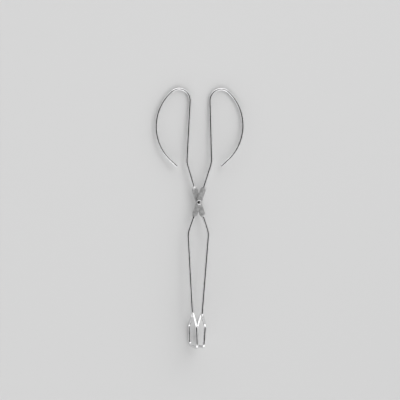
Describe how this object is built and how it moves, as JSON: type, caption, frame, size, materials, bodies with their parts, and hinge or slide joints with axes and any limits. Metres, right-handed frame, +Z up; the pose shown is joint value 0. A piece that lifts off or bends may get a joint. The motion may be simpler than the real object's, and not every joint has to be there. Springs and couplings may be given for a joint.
{
  "type": "wire barbecue tongs",
  "caption": "Scissor tongs of round chromed wire, with arms crossed at a rivet, open curled finger loops at one end and bent wire claws at the other.",
  "frame": {"origin": "middle of the tongs' outline on the surface that they lie on, with the finger loops and the claws touching it", "axes": "+Y along the tongs towards the handles, +Z up through the rivet's head, +X towards the front arm's finger loop"},
  "size_m": [0.0972, 0.2702, 0.0305],
  "materials": {
    "chrome_wire": "bright chrome plating over drawn steel wire, satin on the pressed blades",
    "rivet_steel": "plated steel rivet with a domed head"
  },
  "bodies": {
    "back_half": {"back_arm": "chrome_wire", "back_claw": "chrome_wire", "rivet": "rivet_steel"},
    "front_half": {"front_arm": "chrome_wire", "front_claw": "chrome_wire"}
  },
  "joints": [
    {"name": "rivet_pivot", "type": "hinge", "parent": "back_half", "child": "front_half", "pos_m": [0, 0.01662, 0.00786], "axis": [0, -0.0546, -0.9985], "range_deg": [-1.4, 110]}
  ]
}
